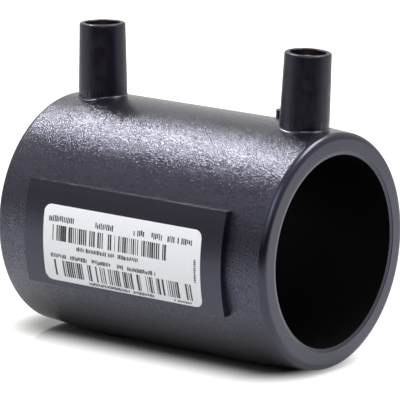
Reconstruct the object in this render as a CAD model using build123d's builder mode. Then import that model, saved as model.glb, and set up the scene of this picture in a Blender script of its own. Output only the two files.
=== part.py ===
from build123d import *
from math import cos, pi, radians, sin, sqrt, tan
import os

# Electrofusion coupler that joins two polyethylene pipes end to end. Sizes are in millimetres.
# X runs along the pipe, +Z points up the two terminals, and -Y is the side with the label.
# The origin is on the pipe's centre line, midway between the two mouths.

# Barrel and pipe sockets
pipe_dia = 50.0  # outside diameter of the pipes
pipe_clearance = 0.4  # how much wider the bore is
wall = 6.6
length = 87.2
end_round = 3.7  # outer edge of each end
round_steps = 6  # straight steps that stand for each rounding
rim_round_steps = 3
lip_width = 1.0  # shallow lead-in round each mouth
lip_depth = 0.35
lip_step = 0.12  # witness of the mould core, at the lip's outer edge
stop_width = 3.0  # ring at mid length that both pipe ends butt against
stop_height = 1.2

# Terminal shrouds
terminal_inset = 10.6  # from each mouth to the terminal's axis
terminal_lean = 1.8  # degrees, each terminal leans towards its own end
shroud_height = 19.0  # rim above the barrel
shroud_rim_dia = 12.2
shroud_draft = 1.2  # degrees
shroud_bore_dia = 9.5
shroud_depth = 14.0
rim_round = 0.5  # outer edge of the rim
rim_inner_bevel = 0.2
root_depth = 3.0  # how far a shroud or boss is drawn into the barrel's wall

# Terminal pins, from the tip down
pin_dia = 4.0
pin_recess = 1.0  # tip below the rim
pin_nose = 0.9  # bevel of the tip
collar_dia = 5.8
collar_height = 1.4  # above the floor of the shroud
collar_seat = 1.6  # below the floor of the shroud
waist_dia = 3.2  # neck that keys the pin into the moulding
foot_dia = 5.2
foot_height = 1.4

# Heating wire, wound in two zones just under the bore
wire_thickness = 0.6
wire_cover = 0.5  # skin between the wire and the bore
cold_length = 28.0  # unheated middle between the two zones
zone_turns = 4
turn_steps = 24  # straight steps in each turn

# Label pad and label
pad_length = 64.0
pad_height = 27.2
pad_rise = 1.4  # above the barrel at mid height
pad_radius = 43.5  # flatter than the barrel, so the label lies well
label_length = 51.2
label_height = 20.2
label_drop = 2.0  # label's centre below the pad's
label_corner = 2.2
label_thickness = 0.12
label_adhesive = 0.03  # between the film and the pad

# Indicator boss
indicator_dia = 4.6
indicator_rise = 1.2  # above the top of the barrel
indicator_x = 20.5
indicator_y = 8.6

bore_radius = (pipe_dia + pipe_clearance) / 2
barrel_radius = bore_radius + wall
half_length = length / 2
terminal_spacing = length - 2 * terminal_inset
rim_level = barrel_radius + shroud_height
floor_level = rim_level - shroud_depth
wire_radius = bore_radius + wire_cover + wire_thickness / 2
zone_length = (terminal_spacing - cold_length) / 2
pad_front = barrel_radius + pad_rise
pad_axis_y = pad_radius - pad_front


def terminal_section(side):
    """Plane through one terminal's axis: X is the distance from the axis, Y the level up it."""
    lean = side * radians(terminal_lean)
    up = Vector(sin(lean), 0, cos(lean))
    foot = Vector(side * terminal_spacing / 2, 0, barrel_radius) - up * barrel_radius
    return Plane(origin=foot, x_dir=(0, 1, 0), z_dir=Vector(0, 1, 0).cross(up))


def terminal_axis(side):
    """Centre line of one terminal."""
    section = terminal_section(side)
    return Axis(section.origin, section.y_dir)


# Heating wire: one strand that winds a zone, crosses the cold middle in one long turn, and winds
# the other zone. It starts and ends at the top, under the terminals.
wire_runs = (
    (-terminal_spacing / 2, zone_length, zone_turns),
    (-cold_length / 2, cold_length, 1),
    (cold_length / 2, zone_length, zone_turns),
)
wire_stations = [-terminal_spacing / 2]
for start, run, turns in wire_runs:
    steps = turns * turn_steps
    wire_stations += [start + run * step / steps for step in range(1, steps + 1)]
with BuildPart() as heating_wire:
    for step, x in enumerate(wire_stations):
        turn = 2 * pi * step / turn_steps
        with BuildSketch(
            Plane(
                origin=(x, -wire_radius * sin(turn), wire_radius * cos(turn)),
                x_dir=(1, 0, 0),
                z_dir=(0, -cos(turn), -sin(turn)),
            )
        ):
            Rectangle(wire_thickness, wire_thickness)
    loft(ruled=True)


def turned_pin(side):
    """Turned brass terminal. Its foot is slotted over the wire's end, and the collar seals it."""
    bottom = wire_radius - wire_thickness / 2
    foot_top = bottom + foot_height
    tip = rim_level - pin_recess
    collar_bottom = floor_level - collar_seat
    collar_top = floor_level + collar_height
    with BuildPart() as pin:
        with BuildSketch(terminal_section(side)):
            with BuildLine():
                Polyline(
                    (0, bottom),
                    (foot_dia / 2, bottom),
                    (foot_dia / 2, foot_top),
                    (waist_dia / 2, foot_top),
                    (waist_dia / 2, collar_bottom),
                    (collar_dia / 2, collar_bottom),
                    (collar_dia / 2, collar_top),
                    (pin_dia / 2, collar_top),
                    (pin_dia / 2, tip - pin_nose),
                    (pin_dia / 2 - pin_nose, tip),
                    (0, tip),
                    close=True,
                )
            make_face()
        revolve(axis=terminal_axis(side))
        add(heating_wire.part, mode=Mode.SUBTRACT)
    return pin.part


terminal_pin_left = turned_pin(-1)
terminal_pin_right = turned_pin(1)

def rounded_corner(centre_x, centre_y, radius, steps):
    """Points of a quarter arc from +X to +Y, in short straight steps."""
    angles = [pi / 2 * step / steps for step in range(steps + 1)]
    return [(centre_x + radius * cos(angle), centre_y + radius * sin(angle)) for angle in angles]


# Body: one injection moulding with the sockets, shrouds, label pad and indicator boss
with BuildPart() as body:
    with BuildSketch(Plane.XZ):
        with BuildLine():
            Polyline(
                (0, barrel_radius),
                (0, bore_radius - stop_height),
                (stop_width / 2, bore_radius - stop_height),
                (stop_width / 2, bore_radius),
                (half_length - lip_depth, bore_radius),
                (half_length - lip_step, bore_radius + lip_width),
                (half_length, bore_radius + lip_width),
                (half_length, barrel_radius - end_round),
            )
            Polyline(
                *rounded_corner(
                    half_length - end_round, barrel_radius - end_round, end_round, round_steps
                )
            )
            Line((half_length - end_round, barrel_radius), (0, barrel_radius))
        make_face()
        mirror(about=Plane.YZ)
    revolve(axis=Axis.X)

    # Pad: the back of its section lies inside the wall, its top and bottom are level
    pad_edge_y = pad_axis_y - sqrt(pad_radius**2 - (pad_height / 2) ** 2)
    pad_back_y = -sqrt((bore_radius + wall / 2) ** 2 - (pad_height / 2) ** 2)
    with BuildSketch(Plane.YZ):
        with BuildLine():
            ThreePointArc(
                (pad_edge_y, pad_height / 2), (-pad_front, 0), (pad_edge_y, -pad_height / 2)
            )
            Polyline(
                (pad_edge_y, -pad_height / 2),
                (pad_back_y, -pad_height / 2),
                (pad_back_y, pad_height / 2),
                (pad_edge_y, pad_height / 2),
            )
        make_face()
    extrude(amount=pad_length / 2, both=True)

    with BuildSketch(Plane.XY.offset(barrel_radius + indicator_rise)):
        with Locations((indicator_x, indicator_y)):
            Circle(indicator_dia / 2)
    extrude(amount=-(indicator_rise + root_depth))

    # Shrouds: tapered so that they leave the mould, with rounded rims
    rim_radius = shroud_rim_dia / 2
    root_level = barrel_radius - root_depth
    root_radius = rim_radius + (rim_level - root_level) * tan(radians(shroud_draft))
    mouth_radius = shroud_bore_dia / 2
    for side in (-1, 1):
        with BuildSketch(terminal_section(side)):
            with BuildLine():
                Polyline(
                    (0, root_level),
                    (root_radius, root_level),
                    *rounded_corner(
                        rim_radius - rim_round, rim_level - rim_round, rim_round, rim_round_steps
                    ),
                    (0, rim_level),
                    close=True,
                )
            make_face()
        revolve(axis=terminal_axis(side))
        with BuildSketch(terminal_section(side)):
            with BuildLine():
                Polyline(
                    (0, floor_level),
                    (mouth_radius, floor_level),
                    (mouth_radius, rim_level - rim_inner_bevel),
                    (mouth_radius + rim_inner_bevel, rim_level),
                    (0, rim_level),
                    close=True,
                )
            make_face()
        revolve(axis=terminal_axis(side), mode=Mode.SUBTRACT)
    add(heating_wire.part, mode=Mode.SUBTRACT)
    add(terminal_pin_left, mode=Mode.SUBTRACT)
    add(terminal_pin_right, mode=Mode.SUBTRACT)

# Label: a printed film that follows the pad
with BuildPart() as label:
    with BuildSketch(Plane.YZ):
        with Locations((pad_axis_y, 0)):
            Circle(pad_radius + label_adhesive + label_thickness)
            Circle(pad_radius + label_adhesive, mode=Mode.SUBTRACT)
    extrude(amount=label_length / 2, both=True)
    with BuildSketch(Plane.XZ):
        with Locations((0, -label_drop)):
            RectangleRounded(label_length, label_height, label_corner)
    extrude(amount=pad_front + pad_rise, mode=Mode.INTERSECT)

os.makedirs("parts", exist_ok=True)
finished = {
    "body": body.part,
    "heating_wire": heating_wire.part,
    "terminal_pin_left": terminal_pin_left,
    "terminal_pin_right": terminal_pin_right,
    "label": label.part,
}
for name, piece in finished.items():
    piece.label = name
    export_step(piece, f"parts/{name}.step")
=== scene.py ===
from math import asin, cos, pi, radians, sin, sqrt, tan

import bmesh
import bpy
from mathutils import Matrix, Quaternion, Vector


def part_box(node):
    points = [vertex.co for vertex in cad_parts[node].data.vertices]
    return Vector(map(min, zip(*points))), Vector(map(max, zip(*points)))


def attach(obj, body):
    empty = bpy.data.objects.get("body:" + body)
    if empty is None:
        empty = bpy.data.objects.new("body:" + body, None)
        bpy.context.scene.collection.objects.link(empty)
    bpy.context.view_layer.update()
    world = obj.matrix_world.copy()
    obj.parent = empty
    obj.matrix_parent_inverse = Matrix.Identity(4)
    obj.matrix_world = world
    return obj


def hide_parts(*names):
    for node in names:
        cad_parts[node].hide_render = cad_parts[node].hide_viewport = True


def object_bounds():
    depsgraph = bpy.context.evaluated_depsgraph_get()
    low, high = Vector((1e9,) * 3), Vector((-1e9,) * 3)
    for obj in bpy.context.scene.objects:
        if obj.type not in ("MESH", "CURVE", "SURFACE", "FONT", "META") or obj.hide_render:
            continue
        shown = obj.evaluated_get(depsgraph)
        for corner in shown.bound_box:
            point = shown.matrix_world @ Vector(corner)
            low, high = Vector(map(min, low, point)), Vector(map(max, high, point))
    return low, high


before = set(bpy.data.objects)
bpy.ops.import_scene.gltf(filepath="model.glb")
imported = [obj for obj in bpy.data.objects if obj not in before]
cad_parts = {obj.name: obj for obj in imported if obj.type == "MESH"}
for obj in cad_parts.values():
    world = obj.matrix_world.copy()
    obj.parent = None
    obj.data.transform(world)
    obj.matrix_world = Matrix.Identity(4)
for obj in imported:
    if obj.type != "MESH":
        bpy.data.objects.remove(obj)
cad_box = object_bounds()

# ---------------------------------------------------------------------------------------------
# Body: an injection moulding in black polyethylene, with a barrel that is straight in the
# middle and tapers a little to both ends. The barrel's tool was spark eroded. The end faces,
# shrouds and label pad come off polished steel, and the bore off a steel core.
# ---------------------------------------------------------------------------------------------
MM = 0.001
barrel_radius = 31.8 * MM
half_length = 43.6 * MM
bore_radius = 25.2 * MM
middle_half = 29.0 * MM  # the barrel is straight as far as here, then tapers towards its ends
end_taper = radians(3.9)
end_round = 1.8 * MM
solid_round = 3.7 * MM  # the solid's barrel is straight as far as this larger rounding
solid_round_x = half_length - solid_round
solid_round_out = barrel_radius - solid_round


def barrel_out(along):
    """Radius of the barrel at a distance from its middle."""
    return barrel_radius - max(0.0, along - middle_half) * tan(end_taper)


end_round_x = half_length - end_round
end_round_out = barrel_out(end_round_x) - end_round / cos(end_taper)

weld_gap = 0.0005 * MM
plane_slack = 0.001 * MM  # how far a point may lie from a plane or seam that it is on
arc_slack = 0.02 * MM  # how far from the rounding's true arc
skin_slack = 0.09 * MM  # how far from the barrel's true radius

shape = bmesh.new()
shape.from_mesh(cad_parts["body"].data)
grained_layer = shape.faces.layers.float.new("grained")
shroud_layer = shape.faces.layers.float.new("shroud")
bmesh.ops.remove_doubles(shape, verts=shape.verts, dist=weld_gap)
for side in (-1, 1):
    bmesh.ops.bisect_plane(
        shape, geom=shape.verts[:] + shape.edges[:] + shape.faces[:],
        plane_co=(side * middle_half, 0, 0), plane_no=(1, 0, 0),
    )

# The outer skin is drawn in to the taper, and the solid's end rounding becomes the small one.
skin_parts = {}  # the parts of the skin that meet at each of its points
for vertex in shape.verts:
    side = 1 if vertex.co.x > 0 else -1
    along, out = abs(vertex.co.x), sqrt(vertex.co.y ** 2 + vertex.co.z ** 2)
    from_round = sqrt((along - solid_round_x) ** 2 + (out - solid_round_out) ** 2)
    if along > solid_round_x - plane_slack and abs(from_round - solid_round) < arc_slack:
        solid_turn = asin(min(1.0, (along - solid_round_x) / solid_round))
        turn = end_taper + solid_turn * (1 - end_taper / (pi / 2))
        new_along = end_round_x + end_round * sin(turn)
        new_out = end_round_out + end_round * cos(turn)
        on_seam = along < solid_round_x + plane_slack
        skin_parts[vertex] = {"round", "taper"} if on_seam else {"round"}
    elif abs(out - barrel_radius) < skin_slack:
        new_along = along
        new_out = out - barrel_radius + barrel_out(along)
        if abs(along - middle_half) < plane_slack:
            skin_parts[vertex] = {"middle", "taper"}
        else:
            skin_parts[vertex] = {"middle"} if along < middle_half else {"taper"}
    else:
        continue
    vertex.co = (side * new_along, vertex.co.y * new_out / out, vertex.co.z * new_out / out)
shape.normal_update()

shroud_level = barrel_radius + 0.5 * MM  # a face above this belongs to a shroud or the boss
wall_rise = 0.1  # the normal of a shroud's wall rises less than this, and its rim's more
skin_tilt = radians(20)  # the skin's faces look away from the axis to within this
bore_limit = bore_radius + 0.3 * MM
smooth_limit = radians(40)


def face_part(face):
    """Which part of the moulding a face belongs to, if its shading matters."""
    shared = set.intersection(*[skin_parts.get(vertex, set()) for vertex in face.verts])
    middle = face.calc_center_median()
    outward = Vector((0, middle.y, middle.z)).normalized()
    if middle.z > shroud_level:
        return "wall" if abs(face.normal.z) < wall_rise else "rim"
    if "round" in shared:
        return "round"
    if shared and face.normal.dot(outward) > cos(skin_tilt):
        return min(shared)
    return ""


def skin_normal(part, point):
    """Way that the skin looks at a point. Zero leaves a face of another part its own normal."""
    if part == "round":
        turn = asin(max(0.0, min(1.0, (abs(point.x) - end_round_x) / end_round)))
    elif part in ("middle", "taper"):
        turn = end_taper if part == "taper" else 0.0
    else:
        return Vector((0, 0, 0))
    endward = Vector((1 if point.x > 0 else -1, 0, 0))
    return Vector((0, point.y, point.z)).normalized() * cos(turn) + endward * sin(turn)


part = {face: face_part(face) for face in shape.faces}
for face in shape.faces:
    middle = face.calc_center_median()
    face.smooth = True
    face[grained_layer] = 1.0 if part[face] in ("middle", "taper") else 0.0
    face[shroud_layer] = 1.0 if part[face] in ("wall", "rim") else 0.0
    # Faces inside the bore take the second material, a darker, duller copy that paints the bore's
    # shade.
    face.material_index = 1 if sqrt(middle.y ** 2 + middle.z ** 2) < bore_limit else 0
for edge in shape.edges:
    faces = edge.link_faces
    one_part = len(faces) == 2 and part[faces[0]] == part[faces[1]]
    edge.smooth = one_part and edge.calc_face_angle(0) < smooth_limit
corner_normals = [
    skin_normal(part[face], vertex.co) for face in shape.faces for vertex in face.verts
]


def new_object(name, data):
    """Puts a mesh, a lamp or a camera into the scene as an object."""
    made = bpy.data.objects.new(name, data)
    bpy.context.scene.collection.objects.link(made)
    return made


def mesh_object(name, shape):
    """Ends the work on a shape and puts it into the scene as an object."""
    mesh = bpy.data.meshes.new(name)
    shape.to_mesh(mesh)
    shape.free()
    return new_object(name, mesh)


moulded_body = mesh_object("moulded_body", shape)
moulded_body.data.normals_split_custom_set(corner_normals)
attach(moulded_body, "root")
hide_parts("body")

# Moulded polyethylene: black, with a slight sheen. The pebbles break a lamp's reflection up
# into a sparkling band, the polished faces keep it soft and whole, and the shrouds are duller
# and mottled.
polyethylene_black = "0d060c"
sheen_tint = "d8dcff"  # its reflections come back slightly blue
polyethylene_ior = 1.54
grain_width = 0.25 * MM  # the pebbles, drawn about twice their real size so that they show
grain_length = 0.43 * MM  # they are drawn out round the barrel
grain_height = 0.034  # in millimetres, as the next height is
sink_height = 0.02
sink_width = 14 * MM  # the faint waves that the plastic sinks into as it cools
mottle_width = 2.2 * MM
noise_span = 0.25  # a noise swings over about this share of its range within one pebble or wave
noise_low, noise_high = 0.3, 0.7  # and nearly all of it lies between these
smooth_roughness, grain_roughness = 0.26, 0.19
shroud_roughness = (0.30, 0.46)
smooth_gloss, shroud_gloss = 0.6, 0.38
pit_gloss, top_gloss = 1.05, 0.3  # between the pebbles and on top of them


def linear(hex_colour):
    """sRGB hex to the linear colour a shader takes."""
    channels = [int(hex_colour[i:i + 2], 16) / 255 for i in (0, 2, 4)]
    return [c / 12.92 if c <= 0.04045 else ((c + 0.055) / 1.055) ** 2.4 for c in channels] + [1.0]


def add_node(tree, kind, settings=(), inputs=()):
    """Adds a node. An input is set to its value, or linked if that is another node's output."""
    node = tree.nodes.new(kind)
    for name, value in dict(settings).items():
        setattr(node, name, value)
    for name, value in dict(inputs).items():
        if isinstance(value, bpy.types.NodeSocket):
            tree.links.new(value, node.inputs[name])
        else:
            node.inputs[name].default_value = value
    return node


def new_material(name):
    """An empty node material. Returns it with its tree and where on the object a point is."""
    material = bpy.data.materials.new(name)
    material.use_nodes = True
    material.node_tree.nodes.clear()
    place = add_node(material.node_tree, "ShaderNodeTexCoord").outputs["Object"]
    return material, material.node_tree, place


def surface(tree, shader):
    """Makes a shader the surface of a material or the light of a world."""
    kind = "ShaderNodeOutputWorld" if shader.type == "BACKGROUND" else "ShaderNodeOutputMaterial"
    add_node(tree, kind, (), {"Surface": shader.outputs[0]})


def give_material(node_name, material):
    """Puts a material on a CAD node's slots."""
    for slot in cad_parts[node_name].material_slots:
        slot.material = material


polyethylene, tree, place = new_material("black_polyethylene_moulded")
on_grain, on_shroud = [
    add_node(tree, "ShaderNodeAttribute", {"attribute_name": name}).outputs["Fac"]
    for name in ("grained", "shroud")
]
drawn_out = add_node(
    tree, "ShaderNodeVectorMath", {"operation": "MULTIPLY"},
    {0: place, 1: (1 / grain_width, 1 / grain_length, 1 / grain_length)},
)
pebbles = add_node(
    tree, "ShaderNodeTexNoise", (),
    {"Vector": drawn_out.outputs[0], "Scale": 1.0, "Detail": 1.0, "Roughness": 0.5},
).outputs["Fac"]
grain = add_node(tree, "ShaderNodeMath", {"operation": "MULTIPLY"}, {0: pebbles, 1: on_grain})
waves = add_node(
    tree, "ShaderNodeTexNoise", (), {"Vector": place, "Scale": 1 / sink_width, "Detail": 0.0},
)
sinks = add_node(
    tree, "ShaderNodeMath", {"operation": "MULTIPLY"},
    {0: waves.outputs["Fac"], 1: sink_height / noise_span},
)
skin_height = add_node(
    tree, "ShaderNodeMath", {"operation": "MULTIPLY_ADD"},
    {0: grain.outputs[0], 1: grain_height / noise_span, 2: sinks.outputs[0]},
)
skin_bump = add_node(
    tree, "ShaderNodeBump", (), {"Height": skin_height.outputs[0], "Distance": MM},
)
mottle = add_node(
    tree, "ShaderNodeTexNoise", (),
    {"Vector": place, "Scale": 1 / mottle_width, "Detail": 3.0, "Roughness": 0.6},
).outputs["Fac"]
shroud_dullness, pebble_gloss, polished_roughness, polished_gloss = [
    add_node(
        tree, "ShaderNodeMapRange", (),
        {"Value": value, "From Min": first, "From Max": last, "To Min": low, "To Max": high},
    ).outputs["Result"]
    for value, first, last, low, high in (
        (mottle, noise_low, noise_high, *shroud_roughness),
        (pebbles, noise_low, noise_high, pit_gloss, top_gloss),
        (on_grain, 0.0, 1.0, smooth_roughness, grain_roughness),
        (on_shroud, 0.0, 1.0, smooth_gloss, shroud_gloss),
    )
]
roughness, gloss = [
    add_node(tree, "ShaderNodeMix", {"data_type": "FLOAT"}, {"Factor": mask, "A": off, "B": on})
    for mask, off, on in (
        (on_shroud, polished_roughness, shroud_dullness), (on_grain, polished_gloss, pebble_gloss),
    )
]
surface(tree, add_node(
    tree, "ShaderNodeBsdfPrincipled", (),
    {"Base Color": linear(polyethylene_black), "IOR": polyethylene_ior,
     "Specular Tint": linear(sheen_tint), "Roughness": roughness.outputs["Result"],
     "Specular IOR Level": gloss.outputs["Result"], "Normal": skin_bump.outputs["Normal"]},
))
moulded_body.data.materials.append(polyethylene)
give_material("body", polyethylene)

# Cored polyethylene: the bore's skin, a little streaky. It is made darker and far less glossy than
# the rest of the moulding, which paints in the deep shade that the bore lies in, so it gives back
# almost no light.
bore_painted_shade_black = "040304"
bore_painted_shade_gloss = 0.1
bore_roughness = (0.4, 0.6)
core_mark_width = 3 * MM

bore_painted_shade, tree, place = new_material("black_polyethylene_bore_painted_shade")
core_marks = add_node(
    tree, "ShaderNodeTexNoise", (), {"Vector": place, "Scale": 1 / core_mark_width, "Detail": 2.0},
)
dulled = add_node(
    tree, "ShaderNodeMapRange", (),
    {"Value": core_marks.outputs["Fac"], "To Min": bore_roughness[0], "To Max": bore_roughness[1]},
)
surface(tree, add_node(
    tree, "ShaderNodeBsdfPrincipled", (),
    {"Base Color": linear(bore_painted_shade_black), "IOR": polyethylene_ior,
     "Specular IOR Level": bore_painted_shade_gloss, "Roughness": dulled.outputs["Result"]},
))
moulded_body.data.materials.append(bore_painted_shade)

# ---------------------------------------------------------------------------------------------
# Shroud fillets: the small concave radius where each shroud grows out of the barrel, part of
# the same moulding. It catches the light as a thin line round the foot of the shroud.
# ---------------------------------------------------------------------------------------------
terminal_spacing = 66.0 * MM
terminal_lean = radians(1.8)
shroud_rim_radius = 6.1 * MM
shroud_height = 19.0 * MM
shroud_draft = radians(1.2)
fillet_radius = 0.45 * MM
fillet_root = 0.12 * MM  # how deep the fillet's back reaches into the moulding
fillet_edge = 0.03 * MM  # how deep its two edges are let in
fillet_crease = radians(50)
ring_steps, arc_steps = 72, 6
lowest_foot, highest_foot = -3 * MM, 2 * MM  # the foot's level is sought between these
halvings = 30


def terminal_frame(side):
    """(foot on the barrel's top line, direction up the terminal) in metres."""
    lean = side * terminal_lean
    foot = Vector((side * terminal_spacing / 2, 0, barrel_radius))
    return foot, Vector((sin(lean), 0, cos(lean)))


def shroud_radius(level):
    """Outside radius of a shroud at a level above the top of the barrel."""
    return shroud_rim_radius + (shroud_height - level) * tan(shroud_draft)


def shroud_foot(side, angle):
    """Point where the shroud's wall meets the barrel, with the two directions away from it."""
    foot, up = terminal_frame(side)
    out = Vector((cos(angle), sin(angle), 0))
    out = (out - up * out.dot(up)).normalized()
    low, high = lowest_foot, highest_foot
    for _ in range(halvings):
        level = (low + high) / 2
        point = foot + up * level + out * shroud_radius(level)
        if point.y ** 2 + point.z ** 2 > barrel_out(abs(point.x)) ** 2:
            high = level
        else:
            low = level
    normal = Vector((0, point.y, point.z)).normalized()
    outward = (out - normal * out.dot(normal)).normalized()
    return point, up, outward


for side, where in ((-1, "left"), (1, "right")):
    shape = bmesh.new()
    loops = []
    for step in range(ring_steps):
        point, up, outward = shroud_foot(side, 2 * pi * step / ring_steps)
        centre = point + (up + outward) * fillet_radius
        section = [point - (up + outward) * fillet_root]
        for arc_step in range(arc_steps + 1):
            turn = pi / 2 * arc_step / arc_steps
            across, down = fillet_radius * cos(turn), fillet_radius * sin(turn)
            section.append(centre - outward * across - up * down)
        section[1] -= outward * fillet_edge
        section[-1] -= up * fillet_edge
        loops.append([shape.verts.new(corner) for corner in section])
    for step in range(ring_steps):
        here, there = loops[step], loops[(step + 1) % ring_steps]
        for corner in range(len(here)):
            after = (corner + 1) % len(here)
            shape.faces.new((here[corner], there[corner], there[after], here[after]))
    bmesh.ops.recalc_face_normals(shape, faces=shape.faces)
    fillet = mesh_object("shroud_fillet_" + where, shape)
    fillet.data.shade_smooth()
    fillet.data.set_sharp_from_angle(angle=fillet_crease)
    fillet.data.materials.append(polyethylene)
    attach(fillet, "root")

# ---------------------------------------------------------------------------------------------
# Terminal pins: turned from brass rod and moulded into the shrouds. Their brass is darkened to a
# soft brown gold, a painted shade for the deep shrouds that they stand in, and fine rings from
# the lathe run round them.
# ---------------------------------------------------------------------------------------------
# painted shade: the brass is darker and browner than bare brass, for the shade inside the shrouds
brass_darkened_for_shade = "8a6a42"
brass_roughness = 0.34
ring_scale = 1 / (2.4 * MM)  # puts the rings 0.75 mm apart, coarser than real so that they show
ring_height = 0.01 * MM

brass, tree, place = new_material("turned_brass")
tool_rings = add_node(
    tree, "ShaderNodeTexWave", {"bands_direction": "Z"},
    {"Vector": place, "Scale": ring_scale, "Distortion": 1.5, "Detail": 1.0},
)
turned = add_node(
    tree, "ShaderNodeBump", (),
    {"Height": tool_rings.outputs["Fac"], "Strength": 0.3, "Distance": ring_height},
)
surface(tree, add_node(
    tree, "ShaderNodeBsdfPrincipled", (),
    {"Base Color": linear(brass_darkened_for_shade), "Metallic": 1.0, "Roughness": brass_roughness,
     "Normal": turned.outputs["Normal"]},
))
give_material("terminal_pin_left", brass)
give_material("terminal_pin_right", brass)

# ---------------------------------------------------------------------------------------------
# Heating wire: drawn copper-nickel, wound under the bore's skin and joined to the pins' feet.
# It never shows. Where it is laid bare it is a pale, slightly streaky metal.
# ---------------------------------------------------------------------------------------------
wire_pink_grey = "c9b2a0"
wire_roughness = (0.3, 0.45)
die_line_width = 0.8 * MM

wire, tree, place = new_material("drawn_resistance_wire")
die_lines = add_node(
    tree, "ShaderNodeTexNoise", (), {"Vector": place, "Scale": 1 / die_line_width, "Detail": 2.0},
)
dulled = add_node(
    tree, "ShaderNodeMapRange", (),
    {"Value": die_lines.outputs["Fac"], "To Min": wire_roughness[0], "To Max": wire_roughness[1]},
)
surface(tree, add_node(
    tree, "ShaderNodeBsdfPrincipled", (),
    {"Base Color": linear(wire_pink_grey), "Metallic": 1.0, "Roughness": dulled.outputs["Result"]},
))
give_material("heating_wire", wire)

# ---------------------------------------------------------------------------------------------
# Label: white polypropylene film, cut with round corners and stuck on by hand. It is smooth
# enough to carry a soft sheen, and lies a little wavy.
# ---------------------------------------------------------------------------------------------
film_white = "f4f6fc"
film_roughness = 0.32
film_ior = 1.49
ripple_width = 9 * MM
ripple_height = 0.25 * MM

film, tree, place = new_material("white_label_film")
ripples = add_node(
    tree, "ShaderNodeTexNoise", (), {"Vector": place, "Scale": 1 / ripple_width, "Detail": 1.0},
)
lifted = add_node(
    tree, "ShaderNodeBump", (),
    {"Height": ripples.outputs["Fac"], "Strength": 0.5, "Distance": ripple_height},
)
surface(tree, add_node(
    tree, "ShaderNodeBsdfPrincipled", (),
    {"Base Color": linear(film_white), "Roughness": film_roughness, "IOR": film_ior,
     "Normal": lifted.outputs["Normal"]},
))
give_material("label", film)

# ---------------------------------------------------------------------------------------------
# Label print: blue-black ink laid on the film in rows of bars and of small marks, dull in small
# spots. The bars come from random draws and stand for no number. The marks form no letters.
# ---------------------------------------------------------------------------------------------
ink_blue_black = "14151f"
ink_roughness = (0.35, 0.6)
speckle_width = 0.3 * MM
ink_thickness = 0.02 * MM
label_curve = 43.65 * MM  # radius of the film's outer face
label_face = -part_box("label")[0].y

ink, tree, place = new_material("blue_black_ink")
speckle = add_node(
    tree, "ShaderNodeTexNoise", (), {"Vector": place, "Scale": 1 / speckle_width, "Detail": 1.0},
)
worn = add_node(
    tree, "ShaderNodeMapRange", (),
    {"Value": speckle.outputs["Fac"], "To Min": ink_roughness[0], "To Max": ink_roughness[1]},
)
surface(tree, add_node(
    tree, "ShaderNodeBsdfPrincipled", (),
    {"Base Color": linear(ink_blue_black), "Roughness": worn.outputs["Result"]},
))

# One row: a line of points, a thin block on each that is printed, and the whole rolled onto
# the film.
row_tree = bpy.data.node_groups.new("printed_row", "GeometryNodeTree")
for way in ("OUTPUT", "INPUT"):
    row_tree.interface.new_socket("Geometry", in_out=way, socket_type="NodeSocketGeometry")
row_inputs = {
    name: row_tree.interface.new_socket(name, in_out="INPUT", socket_type=kind).identifier
    for kind, names in (
        ("NodeSocketFloat", ("Start X", "Middle Z", "Run", "Height", "Pitch", "Thinnest", "Widest",
                             "Cover", "Shortest", "Lean", "Turn")),
        ("NodeSocketInt", ("Seed",)),
    )
    for name in names
}
given = add_node(row_tree, "NodeGroupInput").outputs

# Each mark has four draws: its width, its share of the row's height, how far it slips up or
# down, and whether it is printed.
draws = ((given["Thinnest"], given["Widest"]), (given["Shortest"], 1.0), (-0.5, 0.5), (0.0, 1.0))
seeds = [
    add_node(row_tree, "ShaderNodeMath", {"operation": "ADD"}, {0: given["Seed"], 1: number + 1})
    for number in range(len(draws))
]
width, share, slip, chance = [
    add_node(
        row_tree, "FunctionNodeRandomValue", {"data_type": "FLOAT"},
        {2: low, 3: high, "Seed": seed.outputs[0]},
    ).outputs[1]
    for (low, high), seed in zip(draws, seeds)
]
count = add_node(
    row_tree, "ShaderNodeMath", {"operation": "DIVIDE"}, {0: given["Run"], 1: given["Pitch"]},
)
step_along = add_node(row_tree, "ShaderNodeCombineXYZ", (), {"X": given["Pitch"]})
row_points = add_node(
    row_tree, "GeometryNodeMeshLine", {"mode": "OFFSET"},
    {"Count": count.outputs[0], "Offset": step_along.outputs[0]},
)
missing_share = add_node(row_tree, "ShaderNodeMath", {"operation": "SUBTRACT"}, {0: 1.0, 1: share})
room = add_node(
    row_tree, "ShaderNodeMath", {"operation": "MULTIPLY"},
    {0: missing_share.outputs[0], 1: given["Height"]},
)
slipped = add_node(
    row_tree, "ShaderNodeMath", {"operation": "MULTIPLY"}, {0: room.outputs[0], 1: slip},
)
slip_offset = add_node(row_tree, "ShaderNodeCombineXYZ", (), {"Z": slipped.outputs[0]})
settled = add_node(
    row_tree, "GeometryNodeSetPosition", (),
    {"Geometry": row_points.outputs["Mesh"], "Offset": slip_offset.outputs[0]},
)
printed = add_node(
    row_tree, "ShaderNodeMath", {"operation": "LESS_THAN"}, {0: chance, 1: given["Cover"]},
)
mark_height = add_node(
    row_tree, "ShaderNodeMath", {"operation": "MULTIPLY"}, {0: share, 1: given["Height"]},
)
mark_size = add_node(
    row_tree, "ShaderNodeCombineXYZ", (),
    {"X": width, "Y": ink_thickness, "Z": mark_height.outputs[0]},
)
mark = add_node(row_tree, "GeometryNodeMeshCube", (), {"Size": (1, 1, 1), "Vertices Z": 5})
laid = add_node(
    row_tree, "GeometryNodeInstanceOnPoints", (),
    {"Points": settled.outputs[0], "Selection": printed.outputs[0],
     "Instance": mark.outputs[0], "Scale": mark_size.outputs[0]},
)
real = add_node(row_tree, "GeometryNodeRealizeInstances", (), {"Geometry": laid.outputs[0]})
position = add_node(row_tree, "GeometryNodeInputPosition").outputs[0]
spot = add_node(row_tree, "ShaderNodeSeparateXYZ", (), {0: position}).outputs
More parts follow.
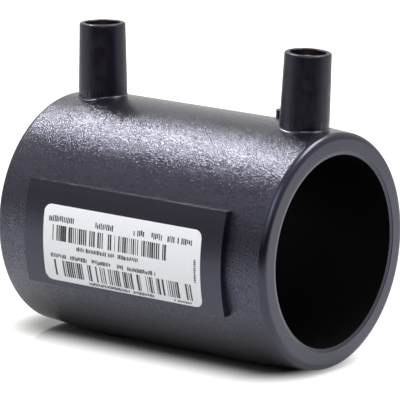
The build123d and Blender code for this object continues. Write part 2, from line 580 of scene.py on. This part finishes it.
leant = add_node(
    row_tree, "ShaderNodeMath", {"operation": "MULTIPLY"}, {0: spot["Z"], 1: given["Lean"]},
)
lean_offset = add_node(row_tree, "ShaderNodeCombineXYZ", (), {"X": leant.outputs[0]})
leaning = add_node(
    row_tree, "GeometryNodeSetPosition", (),
    {"Geometry": real.outputs[0], "Offset": lean_offset.outputs[0]},
)
row_turn = add_node(row_tree, "ShaderNodeCombineXYZ", (), {"Y": given["Turn"]})
row_place = add_node(
    row_tree, "ShaderNodeCombineXYZ", (), {"X": given["Start X"], "Z": given["Middle Z"]},
)
placed = add_node(
    row_tree, "GeometryNodeTransform", (),
    {"Geometry": leaning.outputs[0], "Rotation": row_turn.outputs[0],
     "Translation": row_place.outputs[0]},
)

# The flat row is rolled onto the film: height becomes an angle about the axis of its curve.
angle = add_node(
    row_tree, "ShaderNodeMath", {"operation": "DIVIDE"}, {0: spot["Z"], 1: label_curve},
)
reach = add_node(
    row_tree, "ShaderNodeMath", {"operation": "SUBTRACT"},
    {0: label_curve + ink_thickness / 2, 1: spot["Y"]},
)
shares = [
    add_node(row_tree, "ShaderNodeMath", {"operation": way}, {0: angle.outputs[0]})
    for way in ("COSINE", "SINE")
]
outward, upward = [
    add_node(
        row_tree, "ShaderNodeMath", {"operation": "MULTIPLY"},
        {0: reach.outputs[0], 1: part_of_reach.outputs[0]},
    )
    for part_of_reach in shares
]
rolled_y = add_node(
    row_tree, "ShaderNodeMath", {"operation": "SUBTRACT"},
    {0: label_curve - label_face, 1: outward.outputs[0]},
)
rolled_to = add_node(
    row_tree, "ShaderNodeCombineXYZ", (),
    {"X": spot["X"], "Y": rolled_y.outputs[0], "Z": upward.outputs[0]},
)
rolled = add_node(
    row_tree, "GeometryNodeSetPosition", (),
    {"Geometry": placed.outputs[0], "Position": rolled_to.outputs[0]},
)
inked = add_node(
    row_tree, "GeometryNodeSetMaterial", (), {"Geometry": rolled.outputs[0], "Material": ink},
)
joined = add_node(row_tree, "GeometryNodeJoinGeometry")
for rows_so_far in (inked.outputs[0], given["Geometry"]):
    row_tree.links.new(rows_so_far, joined.inputs[0])
add_node(row_tree, "NodeGroupOutput", (), {0: joined.outputs[0]})

# Each kind of row: pitch, thinnest and widest mark, cover, and shortest mark as a share of the
# row's height. Each row: start, middle height, run, height of its marks, kind, lean and turn.
# Sizes are in millimetres.
bars = (0.68, 0.16, 0.66, 0.70, 1.0)
small_marks = (0.52, 0.26, 0.42, 0.92, 0.62)
title_marks = (0.60, 0.28, 0.44, 0.96, 0.6)
label_rows = [
    (-23.0, 0.9, 38.2, 4.1, *bars, 0.0, 0.0),
    (-23.2, -8.5, 46.4, 4.4, *bars, -0.07, 0.0),
    (-14.3, -2.5, 20.7, 1.25, *small_marks, 0.0, 0.0),
    (-23.0, -5.2, 5.2, 1.25, *small_marks, 0.0, 0.0),
    (-16.6, -5.2, 6.0, 1.25, *small_marks, 0.0, 0.0),
    (-9.4, -5.2, 6.6, 1.25, *small_marks, 0.0, 0.0),
    (-1.6, -5.2, 2.6, 1.25, *small_marks, 0.0, 0.0),
    (2.2, -5.2, 9.6, 1.25, *small_marks, 0.0, 0.0),
    (-11.0, -11.5, 21.8, 0.9, *small_marks, 0.0, 0.0),
    (16.8, -11.5, 5.8, 0.6, *small_marks, 0.0, 0.0),
    (23.9, -5.4, 6.6, 0.7, *small_marks, 0.0, -pi / 2),
    (-23.6, 4.6, 8.8, 1.7, *title_marks, 0.0, 0.0),
    (-8.3, 4.6, 6.1, 1.7, *title_marks, 0.0, 0.0),
    (4.2, 4.6, 3.7, 1.7, *title_marks, 0.0, 0.0),
    (10.0, 4.6, 3.7, 1.7, *title_marks, 0.0, 0.0),
    (15.2, 4.6, 2.4, 1.7, *title_marks, 0.0, 0.0),
    (18.4, 4.6, 5.0, 1.7, *title_marks, 0.0, 0.0),
]

label_print = new_object("label_print", bpy.data.meshes.new("label_print"))
for number, row in enumerate(label_rows):
    start, middle, run, height, pitch, thinnest, widest, cover, shortest, lean, turn = row
    sizes = {
        "Start X": start * MM, "Middle Z": middle * MM, "Run": run * MM, "Height": height * MM,
        "Pitch": pitch * MM, "Thinnest": thinnest * MM, "Widest": widest * MM, "Cover": cover,
        "Shortest": shortest, "Lean": lean, "Turn": turn, "Seed": 10 * number,
    }
    printing = label_print.modifiers.new("row_%d" % number, "NODES")
    printing.node_group = row_tree
    for name, size in sizes.items():
        printing[row_inputs[name]] = size
bpy.context.view_layer.update()
evaluated = label_print.evaluated_get(bpy.context.evaluated_depsgraph_get())
flattened = bpy.data.meshes.new_from_object(evaluated)
label_print.modifiers.clear()
label_print.data = flattened
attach(label_print, "root")

# ---------------------------------------------------------------------------------------------
# Studio: a white table, white all round, and black cloth on the side that the coupler is
# looked at from, which its smooth faces mirror. Two strong soft lamps hang overhead, a narrow
# one to the left and a wide one to the back, and three weak ones fill in.
# ---------------------------------------------------------------------------------------------
floor_level = cad_box[0].z
sight_azimuth = radians(37.10)


def sheet_object(name, points, faces):
    """Puts an open sheet of points and faces into the scene."""
    mesh = bpy.data.meshes.new(name)
    mesh.from_pydata(points, [], faces)
    return new_object(name, mesh)


# The table glows white wherever it is seen or mirrored, except near the line on which the
# coupler rests. There the glow fades out, which paints a soft shadow, and the grey beneath it
# shows the coupler's own shadow as well.
table_grey = "7c7c7c"
table_half = 3.0
# The painted shadow lies along this line, set a little to the left of the coupler's middle and
# shorter than it.
painted_shadow_middle = -6 * MM
painted_shadow_half = 34 * MM
end_pace = 1.4  # past the ends of the contact line the shadow thins this much sooner
# Each glow: the two distances from the contact line between which it changes, in metres, and
# its strength at the first and at the second.
# The seen and the mirrored glow fade out near the line, which paints the shadow there.
seen_glow_painted_shadow = (10 * MM, 29 * MM, 0.0, 1.0)
mirrored_glow_painted_shadow = (12 * MM, 42 * MM, 0.0, 1.0)
# The far glow is a painted pool of light seen only in mirrors, bright round the coupler and dimmer
# further off.
mirrored_painted_light_pool = (0.2, 0.6, 1.2, 0.4)

table_corners = ((-1, -1), (1, -1), (1, 1), (-1, 1))
table = sheet_object(
    "table", [(x * table_half, y * table_half, floor_level) for x, y in table_corners],
    [(0, 1, 2, 3)],
)
painted_shadow_table, tree, place = new_material("white_table_painted_shadow")
matt = add_node(tree, "ShaderNodeBsdfDiffuse", (), {"Color": linear(table_grey)})
spot = add_node(tree, "ShaderNodeSeparateXYZ", (), {0: place}).outputs
off_middle = add_node(
    tree, "ShaderNodeMath", {"operation": "ADD"}, {0: spot["X"], 1: -painted_shadow_middle},
)
either_way = add_node(
    tree, "ShaderNodeMath", {"operation": "ABSOLUTE"}, {0: off_middle.outputs[0]},
)
past_end = add_node(
    tree, "ShaderNodeMath", {"operation": "SUBTRACT"}, {0: either_way.outputs[0], 1: painted_shadow_half},
)
beyond_end = add_node(
    tree, "ShaderNodeMath", {"operation": "MAXIMUM"}, {0: past_end.outputs[0], 1: 0.0},
)
paced = add_node(
    tree, "ShaderNodeMath", {"operation": "MULTIPLY"}, {0: beyond_end.outputs[0], 1: end_pace},
)
away = add_node(tree, "ShaderNodeCombineXYZ", (), {"X": paced.outputs[0], "Y": spot["Y"]})
from_contact = add_node(
    tree, "ShaderNodeVectorMath", {"operation": "LENGTH"}, {0: away.outputs[0]},
)
seen, mirrored_near, mirrored_painted_pool = [
    add_node(
        tree, "ShaderNodeMapRange", {"interpolation_type": "SMOOTHSTEP"},
        {"Value": from_contact.outputs["Value"], "From Min": first, "From Max": last,
         "To Min": low, "To Max": high},
    ).outputs["Result"]
    for first, last, low, high in (seen_glow_painted_shadow, mirrored_glow_painted_shadow, mirrored_painted_light_pool)
]
path = add_node(tree, "ShaderNodeLightPath").outputs
mirror_ray = add_node(
    tree, "ShaderNodeMath", {"operation": "MAXIMUM"},
    {0: path["Is Glossy Ray"], 1: path["Is Transmission Ray"]},
)
mirrored = add_node(
    tree, "ShaderNodeMath", {"operation": "MULTIPLY"}, {0: mirrored_near, 1: mirrored_painted_pool},
)
mirror_lift = add_node(
    tree, "ShaderNodeMath", {"operation": "MULTIPLY"},
    {0: mirror_ray.outputs[0], 1: mirrored.outputs[0]},
)
# The glow's strength: white where seen, faded near the contact line where it paints a shadow, and
# in mirrors also a painted pool of light.
lift = add_node(
    tree, "ShaderNodeMath", {"operation": "MULTIPLY_ADD"},
    {0: path["Is Camera Ray"], 1: seen, 2: mirror_lift.outputs[0]},
)
glow = add_node(tree, "ShaderNodeEmission", (), {"Strength": lift.outputs[0]})
surface(tree, add_node(tree, "ShaderNodeAddShader", (), {0: matt.outputs[0], 1: glow.outputs[0]}))
table.data.materials.append(painted_shadow_table)

# Dark cloth lies on the near side of the table and rises into a curtain. The camera doesn't
# see it. It is black in the middle and pales towards its ends.
cloth_half_angle = radians(95)
cloth_black_angle = radians(35)
cloth_steps = 24
cloth_tones = (0.004, 0.8)  # how much light it gives back in the middle and at its ends
cloth_profile = (  # distance from the coupler and level, in metres
    (0.22, floor_level + 0.001), (1.25, floor_level + 0.002), (1.35, floor_level + 0.1),
    (1.4, 0.35),
)

points, quads = [], []
for step in range(cloth_steps + 1):
    turn = sight_azimuth + cloth_half_angle * (2 * step / cloth_steps - 1)
    way = Vector((sin(turn), -cos(turn), 0))
    points += [tuple(way * reach + Vector((0, 0, level))) for reach, level in cloth_profile]
tall = len(cloth_profile)
for step in range(cloth_steps):
    for corner in range(tall * step, tall * step + tall - 1):
        quads.append((corner, corner + 1, corner + 1 + tall, corner + tall))
curtain = sheet_object("curtain", points, quads)
cloth, tree, place = new_material("black_cloth")
spot = add_node(tree, "ShaderNodeSeparateXYZ", (), {0: place}).outputs
flat = add_node(tree, "ShaderNodeCombineXYZ", (), {"X": spot["X"], "Y": spot["Y"]})
flat_way = add_node(tree, "ShaderNodeVectorMath", {"operation": "NORMALIZE"}, {0: flat.outputs[0]})
towards_middle = add_node(
    tree, "ShaderNodeVectorMath", {"operation": "DOT_PRODUCT"},
    {0: flat_way.outputs[0], 1: (sin(sight_azimuth), -cos(sight_azimuth), 0)},
)
paling = add_node(
    tree, "ShaderNodeMapRange", {"interpolation_type": "SMOOTHSTEP"},
    {"Value": towards_middle.outputs["Value"],
     "From Min": cos(cloth_black_angle), "From Max": cos(cloth_half_angle),
     "To Min": cloth_tones[0], "To Max": cloth_tones[1]},
)
surface(tree, add_node(tree, "ShaderNodeBsdfDiffuse", (), {"Color": paling.outputs["Result"]}))
curtain.data.materials.append(cloth)
curtain.visible_camera = False

# The room is plain white where it is seen, mirrored or seen through, and lights the coupler
# a little more strongly.
room_seen = 1.0
room_light = 1.35

world = bpy.data.worlds.new("studio")
bpy.context.scene.world = world
world.use_nodes = True
tree = world.node_tree
tree.nodes.clear()
path = add_node(tree, "ShaderNodeLightPath").outputs
camera_or_mirror = add_node(
    tree, "ShaderNodeMath", {"operation": "MAXIMUM"},
    {0: path["Is Camera Ray"], 1: path["Is Glossy Ray"]},
)
looked_at = add_node(
    tree, "ShaderNodeMath", {"operation": "MAXIMUM"},
    {0: camera_or_mirror.outputs[0], 1: path["Is Transmission Ray"]},
)
level = add_node(
    tree, "ShaderNodeMapRange", (),
    {"Value": looked_at.outputs[0], "To Min": room_light, "To Max": room_seen},
)
surface(tree, add_node(tree, "ShaderNodeBackground", (), {"Strength": level.outputs["Result"]}))

key_white = (1.0, 0.98, 0.93)
warm_white = (1.0, 0.98, 0.95)
plain_white = (1.0, 1.0, 1.0)


def soft_light(name, toward, distance, sizes, power, colour, turn=0.0):
    """Soft lamp that shines from a direction at the coupler, in metres and watts.

    Its two sizes are turned about its own beam.
    """
    data = bpy.data.lights.new(name, "AREA")
    data.shape = "RECTANGLE"
    data.size, data.size_y = sizes
    data.energy = power
    data.color = colour
    way = Vector(toward).normalized()
    lamp = new_object(name, data)
    lamp.location = way * distance
    lamp.rotation_euler = (way.to_track_quat("Z", "Y") @ Quaternion((0, 0, 1), turn)).to_euler()


soft_light("key", (-0.54, 0.07, 0.80), 0.9, (0.42, 0.08), 7.8, key_white, radians(30))
soft_light("side", (-0.50, -0.50, 0.66), 1.0, (0.6, 0.6), 0.6, warm_white)
soft_light("back", (-0.55, 0.80, 0.20), 1.3, (0.8, 0.8), 0.5, warm_white)
soft_light("top", (0.22, 0.38, 0.88), 0.9, (0.62, 0.3), 6.8, warm_white)
soft_light("front", (0.45, -0.60, 0.66), 1.0, (0.5, 0.5), 2.5, plain_white)

# ---------------------------------------------------------------------------------------------
# Camera: a long lens on a 36 mm sensor, a little above the coupler and off its open right end.
# ---------------------------------------------------------------------------------------------
sight_elevation = radians(11.70)
sight_roll = radians(1.20)
sight_distance = 1.0662
sight_aim = Vector((0, 0, 7.45 * MM))
sensor_width = 36.0
focal_length = 366.25

lens = bpy.data.cameras.new("camera")
lens.sensor_width = sensor_width
lens.lens = focal_length
lens.clip_start = 0.05
camera = new_object("camera", lens)
back = Vector((
    sin(sight_azimuth) * cos(sight_elevation), -cos(sight_azimuth) * cos(sight_elevation),
    sin(sight_elevation),
))
right = Vector((cos(sight_azimuth), sin(sight_azimuth), 0))
up = back.cross(right)
across = right * cos(sight_roll) + up * sin(sight_roll)
upward = up * cos(sight_roll) - right * sin(sight_roll)
facing = Matrix((across, upward, back)).transposed().to_4x4()
camera.matrix_world = Matrix.Translation(sight_aim + back * sight_distance) @ facing
bpy.context.scene.camera = camera
bpy.context.scene.view_settings.view_transform = "Standard"

bpy.context.view_layer.update()
